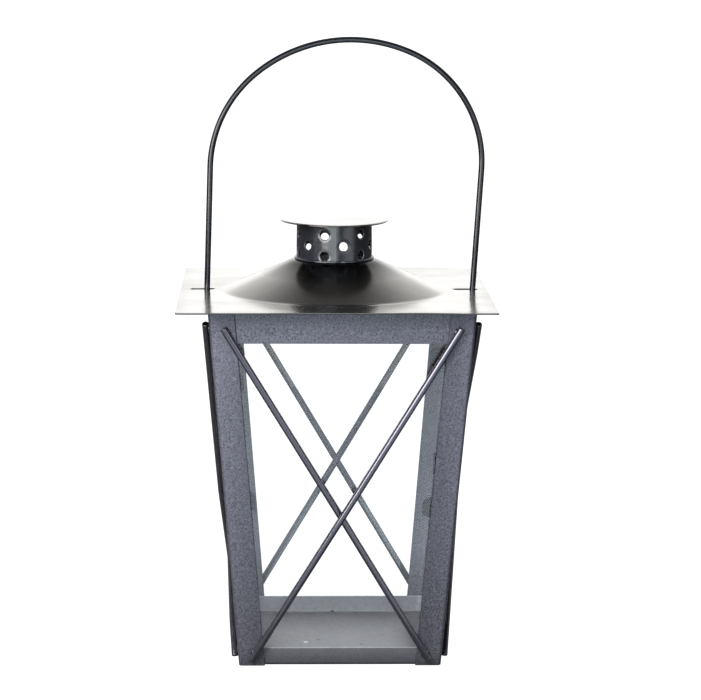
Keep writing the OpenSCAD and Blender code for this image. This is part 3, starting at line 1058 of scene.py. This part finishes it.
def chimney_cap():
    """A thin disc with a turned-down, rounded rim, bent a little out of true."""
    segments = 128
    top = cap_high.z
    z = cap_low.z
    profile = [(r, top - 0.02 * (r / 6) ** 2) for r in (1, 3, 6, 9, 12, 15, 17.5, 19)]
    shading_and_wear = [0.0] * len(profile)
    rim = [
        (CAP_R - 0.5, top - 0.24), (CAP_R - 0.15, top - 0.34),
        (CAP_R, top - 0.6), (CAP_R, z - 0.12),
        (CAP_R - 0.2, z - 0.26), (CAP_R - 0.45, z - 0.14), (CAP_R - 0.6, z + 0.06),
    ]
    profile += rim
    # Painted shade: the rim darkens to near black towards its lower edge
    shading_and_wear += [0.0, 0.0, 0.8, 0.97, 0.97, 0.97, 1.0]
    under = [(r, z + 0.02) for r in (19.6, 18.6, 16, 13, 10, 6, 3, 1)]
    profile += under
    # Painted shade under the cap, near black
    shading_and_wear += [1.0] * len(under)
    rings = []
    for r, height in profile:
        ring = []
        for k in range(segments):
            a = 2 * math.pi * k / segments
            lift = 0.12 * (r / CAP_R) ** 3 * math.sin(2 * a + 0.9)
            ring.append(about_chimney(r, a, height + lift))
        rings.append(ring)
    shell = Shell()
    shell.loft(rings, shading_and_wear)
    make("chimney_cap", shell, STEEL, "roof", ["chimney_cap"])


# ---------------------------------------------------------------- handle

ARCH = Vector((4, 0, 180.5))
ARCH_R = 58.0
# How far each leg leans, and the radius and the inner end of each shoulder
LEFT_LEAN = math.radians(1.6)
RIGHT_LEAN = math.radians(3.5)
RIGHT_R, RIGHT_TURN = 46.5, math.radians(66.6)
LEFT_R, LEFT_TURN = 48.4, math.radians(129.6)
HOOK_R = 2.4
HOOK_TIP = 44.8


def on_arc(centre, radius, a):
    """A point at an angle round a centre, in the upright plane of the handle."""
    return centre + Vector((radius * math.cos(a), 0, radius * math.sin(a)))


def arc_points(centre, radius, start, end, steps):
    """Points along an arc, both ends included."""
    return [on_arc(centre, radius, start + (end - start) * k / steps)
            for k in range(steps + 1)]


def handle():
    """One wire: hooked feet, two legs and an arch with round shoulders."""
    right_centre = on_arc(ARCH, ARCH_R - RIGHT_R, RIGHT_TURN)
    left_centre = on_arc(ARCH, ARCH_R - LEFT_R, LEFT_TURN)
    start = on_arc(right_centre, RIGHT_R, -RIGHT_LEAN)
    end = on_arc(left_centre, LEFT_R, math.pi - LEFT_LEAN)
    bend_z = PIVOT_Z + HOOK_R
    right_z = bend_z - HOOK_R * math.sin(RIGHT_LEAN)
    left_z = bend_z + HOOK_R * math.sin(LEFT_LEAN)
    right = Vector((start.x - (start.z - right_z) * math.tan(RIGHT_LEAN), 0, right_z))
    left = Vector((end.x - (end.z - left_z) * math.tan(LEFT_LEAN), 0, left_z))
    right_bend = Vector((right.x - HOOK_R * math.cos(RIGHT_LEAN), 0, bend_z))
    left_bend = Vector((left.x + HOOK_R * math.cos(LEFT_LEAN), 0, bend_z))
    quarter = math.pi / 2
    leg, hook, arch = 12, 8, 40
    points = [Vector((HOOK_TIP, 0, PIVOT_Z)), Vector((right_bend.x - 1, 0, PIVOT_Z))]
    points += arc_points(right_bend, HOOK_R, -quarter, -RIGHT_LEAN, hook)
    points += [right.lerp(start, k / leg) for k in range(1, leg)]
    points += arc_points(right_centre, RIGHT_R, -RIGHT_LEAN, RIGHT_TURN, arch)
    points += arc_points(ARCH, ARCH_R, RIGHT_TURN, LEFT_TURN, arch)[1:-1]
    points += arc_points(left_centre, LEFT_R, LEFT_TURN, math.pi - LEFT_LEAN, arch)
    points += [end.lerp(left, k / leg) for k in range(1, leg)]
    points += arc_points(left_bend, HOOK_R, math.pi - LEFT_LEAN, 3 * quarter, hook)
    points += [Vector((left_bend.x + 1, 0, PIVOT_Z)), Vector((-HOOK_TIP, 0, PIVOT_Z))]
    shell = Shell()
    tube(shell, points, WIRE_R, 28, 0.25)
    make("handle", shell, WIRE, "handle", ["handle"])


# ---------------------------------------------------------------- build

for side, degrees in TURNS.items():
    top_rail(side, degrees, pivot=side in ("left", "right"))
    clips(side, degrees)
    cross_rod(side, degrees, outer=False)
    cross_rod(side, degrees, outer=True)
for name, degrees in (
    ("post_front_right", 0), ("post_back_right", 90),
    ("post_back_left", 180), ("post_front_left", 270),
):
    corner_post(name, degrees)
base_tray()
roof_plate()
chimney_collar()
collar_foot()
chimney_cap()
handle()

for side in TURNS:
    pane = frame["nodes"]["glass_" + side]
    pane.data.materials.clear()
    pane.data.materials.append(GLASS)
    soft = pane.modifiers.new("ground edge", "BEVEL")
    soft.width = 0.2 * MM
    soft.segments = 2
    soft.limit_method = "ANGLE"


# ---------------------------------------------------------------- studio, in metres

WHITE = (1, 1, 1)


def seen_directly(tree, path):
    """1 for rays straight from the camera or through glass, 0 for reflections and light."""
    bounces = number(tree, "ADD", path["Diffuse Depth"], path["Glossy Depth"])
    straight = number(tree, "LESS_THAN", bounces, 0.5)
    through = number(tree, "MULTIPLY", path["Is Transmission Ray"], straight)
    return number(tree, "MAXIMUM", path["Is Camera Ray"], through)


def ray(tree):
    """The sockets that say what kind of ray a shader is asked for."""
    return tree.nodes.new("ShaderNodeLightPath").outputs


def floor():
    """A pale sweep, overexposed where it is looked at, with a bright patch in front of the
    lantern that only mirrors see."""
    half, height = 4.0, -0.0001
    mesh = bpy.data.meshes.new("floor")
    mesh.from_pydata(
        [(-half, -half, height), (half, -half, height), (half, half, height),
         (-half, half, height)], [], [(0, 1, 2, 3)],
    )
    obj = bpy.data.objects.new("floor", mesh)
    bpy.context.scene.collection.objects.link(obj)
    material, tree, shader = blank("floor")
    shader.inputs["Base Color"].default_value = (0.18, 0.18, 0.18, 1)
    shader.inputs["Roughness"].default_value = 0.8
    white = tree.nodes.new("ShaderNodeEmission")
    white.inputs["Strength"].default_value = 1.2
    path = ray(tree)
    straight = seen_directly(tree, path)
    sharp = number(tree, "LESS_THAN", path["Diffuse Depth"], 0.5)
    mirrored = number(tree, "MULTIPLY", path["Is Glossy Ray"], sharp)
    place = axes(tree, object_place(tree))
    ahead = number(tree, "MULTIPLY", place["Y"], -1.0)
    ahead = ramp(tree, ahead, [(0.09, 0.0), (0.15, 1.0), (0.6, 1.0), (0.75, 0.0)])
    aside = number(tree, "ABSOLUTE", place["X"])
    aside = ramp(tree, aside, [(0.12, 1.0), (0.24, 0.0)])
    mirrored = number(tree, "MULTIPLY", mirrored, ahead)
    mirrored = number(tree, "MULTIPLY", mirrored, aside)
    tint = mixed(tree, straight, (1.0, 1.17, 1.3), WHITE)
    tree.links.new(tint, white.inputs["Color"])
    show_mix(tree, number(tree, "MAXIMUM", straight, mirrored), shader, white)
    mesh.materials.append(material)


def world():
    """A backdrop that is white where it is looked at. In reflections and as light it
    darkens overhead and behind the camera."""
    made = bpy.data.worlds.new("studio")
    bpy.context.scene.world = made
    made.use_nodes = True
    tree = made.node_tree
    back = tree.nodes["Background"]
    way = axes(tree, tree.nodes.new("ShaderNodeTexCoord").outputs["Generated"])
    path = ray(tree)
    ceiling = (0.026, 0.024, 0.022)
    sky = ramp(tree, way["Z"], [
        (0.0, 1.0), (0.2, 0.99), (0.25, 0.88), (0.342, 0.58), (0.53, 0.42), (0.616, 0.3),
        (0.743, 0.115), (0.829, ceiling), (0.885, ceiling), (0.935, 0.5),
    ])

    # Dim behind the camera, though less so for light that comes through the panes
    depth = number(tree, "MULTIPLY_ADD", way["Y"], 0.5, 0.5)
    near = ramp(tree, depth, [(0.3, 0.05), (0.62, 1.0)])
    lit = number(tree, "MULTIPLY", path["Is Transmission Ray"], 0.75)
    near = mixed(tree, 1.0, near, lit, "LIGHTEN")
    sky = mixed(tree, 1.0, sky, near, "MULTIPLY")

    # Black flags low at both sides, seen in reflections only
    sideways = number(tree, "ABSOLUTE", way["X"])
    flags = ramp(tree, sideways, [(0.5, 1.0), (0.68, 0.03)])
    mirrored = number(tree, "LESS_THAN", path["Diffuse Depth"], 0.5)
    low = ramp(tree, way["Z"], [(0.03, 1.0), (0.14, 0.0)])
    flags = mixed(tree, number(tree, "MULTIPLY", mirrored, low), WHITE, flags)
    sky = mixed(tree, 1.0, sky, flags, "MULTIPLY")
    sky = mixed(tree, seen_directly(tree, path), sky, WHITE)
    tree.links.new(sky, back.inputs["Color"])
    back.inputs["Strength"].default_value = 1.33


def softbox(name, place, target, size, radiance, colour=WHITE, diffuse=True, glossy=True):
    """A rectangular light of even brightness that the camera and the panes don't see. It
    lights surfaces, shows in reflections, or both."""
    data = bpy.data.lights.new(name, "AREA")
    data.shape = "RECTANGLE"
    data.size, data.size_y = size
    data.energy = radiance * math.pi * size[0] * size[1]
    data.color = colour
    obj = bpy.data.objects.new(name, data)
    bpy.context.scene.collection.objects.link(obj)
    obj.location = place
    obj.rotation_euler = (Vector(target) - Vector(place)).to_track_quat("-Z", "Y").to_euler()
    obj.visible_camera = False
    obj.visible_transmission = False
    obj.visible_diffuse = diffuse
    obj.visible_glossy = glossy


def camera():
    """A long lens a metre in front, a little above the roof and left of the middle."""
    place = Vector((-0.02465, -1.02119, 0.2948))
    pitch, yaw, roll = (math.radians(a) for a in (9.87, 1.63, 0.35))
    data = bpy.data.cameras.new("camera")
    data.lens = 135.35
    data.sensor_width = 36
    data.clip_start = 0.05
    data.clip_end = 50
    obj = bpy.data.objects.new("camera", data)
    bpy.context.scene.collection.objects.link(obj)
    forward = Vector((
        math.sin(yaw) * math.cos(pitch), math.cos(yaw) * math.cos(pitch), -math.sin(pitch),
    ))
    right = forward.cross(Vector((0, 0, 1))).normalized()
    up = right.cross(forward)
    rolled_right = right * math.cos(roll) + up * math.sin(roll)
    rolled_up = up * math.cos(roll) - right * math.sin(roll)
    turn = Matrix((rolled_right, rolled_up, -forward)).transposed()
    obj.matrix_world = Matrix.Translation(place) @ turn.to_4x4()
    bpy.context.scene.camera = obj


floor()
world()
softbox("front box", (-0.1, -0.85, 0.252), (0.0, 0, 0.252), (0.5, 0.5), 4.6,
        (0.88, 0.97, 1.0), diffuse=False)
softbox("left panel", (-0.42, -0.55, 0.24), (0, -0.04, 0.16), (0.42, 0.3), 11,
        diffuse=False)
softbox("right panel", (0.48, -0.55, 0.2), (0, -0.04, 0.1), (0.42, 0.3), 2.5,
        (0.94, 0.97, 1.0), diffuse=False)
softbox("key", (-0.13, -0.29, 0.33), (0, 0, 0.12), (0.22, 0.22), 17, glossy=False)
softbox("back light", (0.1, 0.6, 0.5), (0, 0, 0.0), (0.4, 0.4), 7, glossy=False)
camera()
bpy.context.scene.view_settings.view_transform = "Standard"
